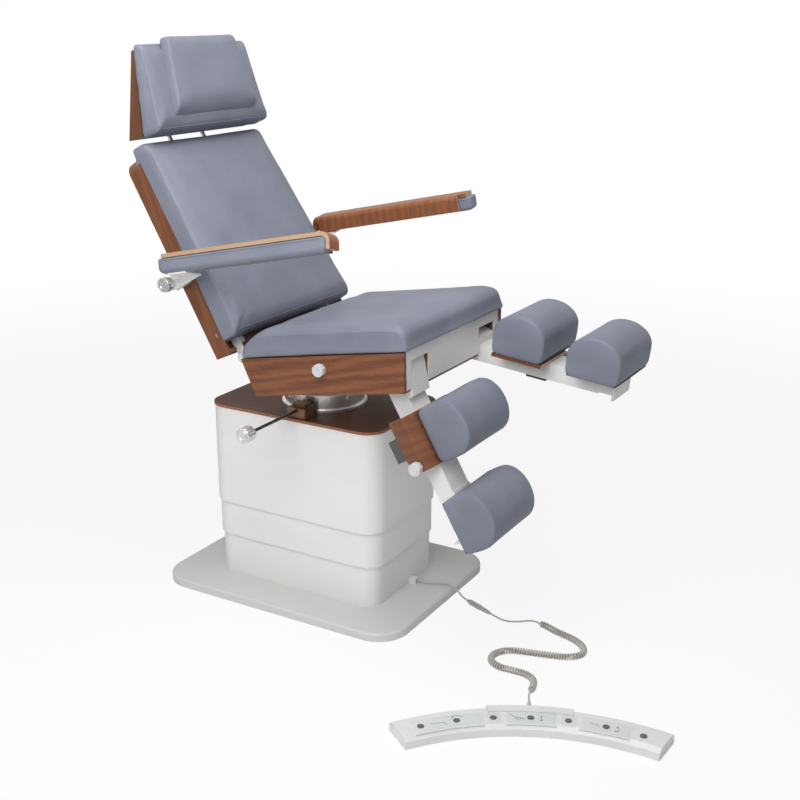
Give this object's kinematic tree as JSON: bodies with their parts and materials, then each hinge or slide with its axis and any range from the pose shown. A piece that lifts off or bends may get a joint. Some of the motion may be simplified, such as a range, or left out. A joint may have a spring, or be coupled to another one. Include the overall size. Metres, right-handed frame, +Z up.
{
  "type": "podiatry chair",
  "caption": "Electric podiatry chair on a telescopic column, with a tilting seat, reclining back, split adjustable leg rests, armrests and a foot control.",
  "frame": {"origin": "centre of the base plate on the floor", "axes": "+Z up, -Y the way the patient faces, +X to the patient's left"},
  "size_m": [1.0857, 1.737, 1.5829],
  "materials": {
    "base": "satin powder coat, warm white",
    "steel_frame": "satin powder coat, light grey",
    "bare_steel": "satin",
    "chrome": "polished",
    "bronze": "satin bronze",
    "walnut": "satin lacquer",
    "leatherette": "satin leatherette, slate",
    "white_panel": "satin",
    "dark_board": "satin",
    "knob_grip": "gloss",
    "control_shell": "satin",
    "button": "matte",
    "cord_grey": "satin",
    "cord_dark": "matte",
    "black_plastic": "matte",
    "motor_grey": "matte"
  },
  "bodies": {
    "base": {"base_plate": "base", "lower_column_cover": "base", "lift_column_outer": "bare_steel", "lift_drive": "motor_grey", "mains_inlet": "black_plastic", "cable_clip": "black_plastic", "foot_control_housing": "control_shell", "foot_control_socket": "cord_dark", "cord_column_lead": "cord_grey", "inline_connector": "cord_dark", "cord_floor_lead": "cord_grey", "coil_cord": "cord_grey", "cord_tail_lead": "cord_dark"},
    "middle_stage": {"middle_column_cover": "base", "lift_column_middle": "bare_steel"},
    "upper_stage": {"upper_column_cover": "base", "column_top_plate": "dark_board", "lift_column_inner": "bare_steel", "brake_bracket": "bronze"},
    "brake": {"brake_lever": "chrome"},
    "turntable": {"turntable_flange": "bare_steel", "tilt_yoke": "steel_frame"},
    "seat": {"seat_frame": "steel_frame", "seat_side_panels": "walnut", "seat_front_panel": "white_panel", "seat_cushion": "leatherette"},
    "seat_lock": {"seat_knob": "knob_grip"},
    "back": {"back_frame": "steel_frame", "back_shell": "walnut", "back_cushion": "leatherette"},
    "headrest": {"headrest_rods": "chrome", "headrest_shell": "walnut", "headrest_cushion": "leatherette"},
    "right_arm": {"right_armrest_bracket": "steel_frame", "right_armrest_strip": "walnut", "right_armrest_pad": "leatherette"},
    "right_arm_lock": {"right_armrest_knob": "chrome"},
    "right_leg": {"right_leg_bar": "steel_frame"},
    "right_leg_end": {"right_leg_extension": "steel_frame", "right_lower_calf_pad": "leatherette"},
    "right_calf_rest": {"right_pad_carrier": "walnut", "right_upper_calf_pad": "leatherette"},
    "right_calf_lock": {"right_calf_knob": "knob_grip"},
    "left_arm": {"left_armrest_bracket": "steel_frame", "left_armrest_strip": "walnut", "left_armrest_pad": "leatherette"},
    "left_arm_lock": {"left_armrest_knob": "chrome"},
    "left_leg": {"left_leg_bar": "steel_frame"},
    "left_leg_end": {"left_leg_extension": "steel_frame", "left_lower_calf_pad": "leatherette"},
    "left_calf_rest": {"left_pad_carrier": "walnut", "left_upper_calf_pad": "leatherette"},
    "left_calf_lock": {"left_calf_knob": "knob_grip"},
    "button_1": {"foot_button_1": "button"},
    "button_2": {"foot_button_2": "button"},
    "button_3": {"foot_button_3": "button"},
    "button_4": {"foot_button_4": "button"},
    "button_5": {"foot_button_5": "button"},
    "button_6": {"foot_button_6": "button"},
    "button_7": {"foot_button_7": "button"}
  },
  "joints": [
    {"name": "column_lift", "type": "slide", "parent": "base", "child": "upper_stage", "axis": [0, 0, 1], "range_m": [-0.15, 0.2]},
    {"name": "middle_stage_lift", "type": "slide", "parent": "base", "child": "middle_stage", "axis": [0, 0, 1], "range_m": [-0.075, 0.1]},
    {"name": "swivel", "type": "hinge", "parent": "upper_stage", "child": "turntable", "pos_m": [0, 0, 0.5633], "axis": [0, 0, 1], "range_deg": [-90, 90]},
    {"name": "swivel_brake", "type": "hinge", "parent": "upper_stage", "child": "brake", "pos_m": [-0.156, -0.025, 0.585], "axis": [-1, 0, 0], "range_deg": [-90, 90]},
    {"name": "seat_tilt", "type": "hinge", "parent": "turntable", "child": "seat", "pos_m": [0, 0, 0.7], "axis": [-1, 0, 0], "range_deg": [-10, 5]},
    {"name": "seat_knob_turn", "type": "hinge", "parent": "seat", "child": "seat_lock", "pos_m": [-0.285, -0.17901, 0.75593], "axis": [-1, 0, 0], "range_deg": [-90, 90]},
    {"name": "back_recline", "type": "hinge", "parent": "seat", "child": "back", "pos_m": [0, 0.10983, 0.73547], "axis": [-1, 0, 0], "range_deg": [-10, 50]},
    {"name": "headrest_height", "type": "slide", "parent": "back", "child": "headrest", "axis": [0, 0.5388, 0.8425], "range_m": [-0.01, 0.12]},
    {"name": "right_armrest_raise", "type": "hinge", "parent": "back", "child": "right_arm", "pos_m": [-0.31, 0.28923, 0.9436], "axis": [-1, 0, 0], "range_deg": [-13, 90]},
    {"name": "right_armrest_knob_turn", "type": "hinge", "parent": "right_arm", "child": "right_arm_lock", "pos_m": [-0.34, 0.28923, 0.9436], "axis": [1, 0, 0], "range_deg": [-90, 90]},
    {"name": "left_armrest_raise", "type": "hinge", "parent": "back", "child": "left_arm", "pos_m": [0.31, 0.28923, 0.9436], "axis": [-1, 0, 0], "range_deg": [-13, 90]},
    {"name": "left_armrest_knob_turn", "type": "hinge", "parent": "left_arm", "child": "left_arm_lock", "pos_m": [0.34, 0.28923, 0.9436], "axis": [1, 0, 0], "range_deg": [-90, 90]},
    {"name": "right_leg_raise", "type": "hinge", "parent": "seat", "child": "right_leg", "pos_m": [-0.195, -0.37069, 0.73998], "axis": [-1, 0, 0], "range_deg": [-20, 60]},
    {"name": "right_leg_length", "type": "slide", "parent": "right_leg", "child": "right_leg_end", "axis": [0, -0.5, -0.866], "range_m": [0, 0.1]},
    {"name": "right_calf_rest_slide", "type": "slide", "parent": "right_leg", "child": "right_calf_rest", "axis": [0, -0.5, -0.866], "range_m": [-0.005, 0.06]},
    {"name": "right_calf_knob_turn", "type": "hinge", "parent": "right_calf_rest", "child": "right_calf_lock", "pos_m": [-0.29, -0.47876, 0.53679], "axis": [1, 0, 0], "range_deg": [-90, 90]},
    {"name": "left_leg_raise", "type": "hinge", "parent": "seat", "child": "left_leg", "pos_m": [0.195, -0.37069, 0.73998], "axis": [-1, 0, 0], "range_deg": [-74, 6]},
    {"name": "left_leg_length", "type": "slide", "parent": "left_leg", "child": "left_leg_end", "axis": [0, -0.9945, -0.1045], "range_m": [-0.02, 0.08]},
    {"name": "left_calf_rest_slide", "type": "slide", "parent": "left_leg", "child": "left_calf_rest", "axis": [0, -0.9945, -0.1045], "range_m": [-0.04, 0.025]},
    {"name": "left_calf_knob_turn", "type": "hinge", "parent": "left_calf_rest", "child": "left_calf_lock", "pos_m": [0.29, -0.6334, 0.70432], "axis": [1, 0, 0], "range_deg": [-90, 90]},
    {"name": "button_1_press", "type": "slide", "parent": "base", "child": "button_1", "axis": [0, 0, -1], "range_m": [0, 0.0015], "stiffness_N_per_m": 400, "springref_m": -0.0005},
    {"name": "button_2_press", "type": "slide", "parent": "base", "child": "button_2", "axis": [0, 0, -1], "range_m": [0, 0.0015], "stiffness_N_per_m": 400, "springref_m": -0.0005},
    {"name": "button_3_press", "type": "slide", "parent": "base", "child": "button_3", "axis": [0, 0, -1], "range_m": [0, 0.0015], "stiffness_N_per_m": 400, "springref_m": -0.0005},
    {"name": "button_4_press", "type": "slide", "parent": "base", "child": "button_4", "axis": [0, 0, -1], "range_m": [0, 0.0015], "stiffness_N_per_m": 400, "springref_m": -0.0005},
    {"name": "button_5_press", "type": "slide", "parent": "base", "child": "button_5", "axis": [0, 0, -1], "range_m": [0, 0.0015], "stiffness_N_per_m": 400, "springref_m": -0.0005},
    {"name": "button_6_press", "type": "slide", "parent": "base", "child": "button_6", "axis": [0, 0, -1], "range_m": [0, 0.0015], "stiffness_N_per_m": 400, "springref_m": -0.0005},
    {"name": "button_7_press", "type": "slide", "parent": "base", "child": "button_7", "axis": [0, 0, -1], "range_m": [0, 0.0015], "stiffness_N_per_m": 400, "springref_m": -0.0005}
  ],
  "couplings": [
    {"joint": "middle_stage_lift", "follows": "column_lift", "ratio": 0.5}
  ]
}
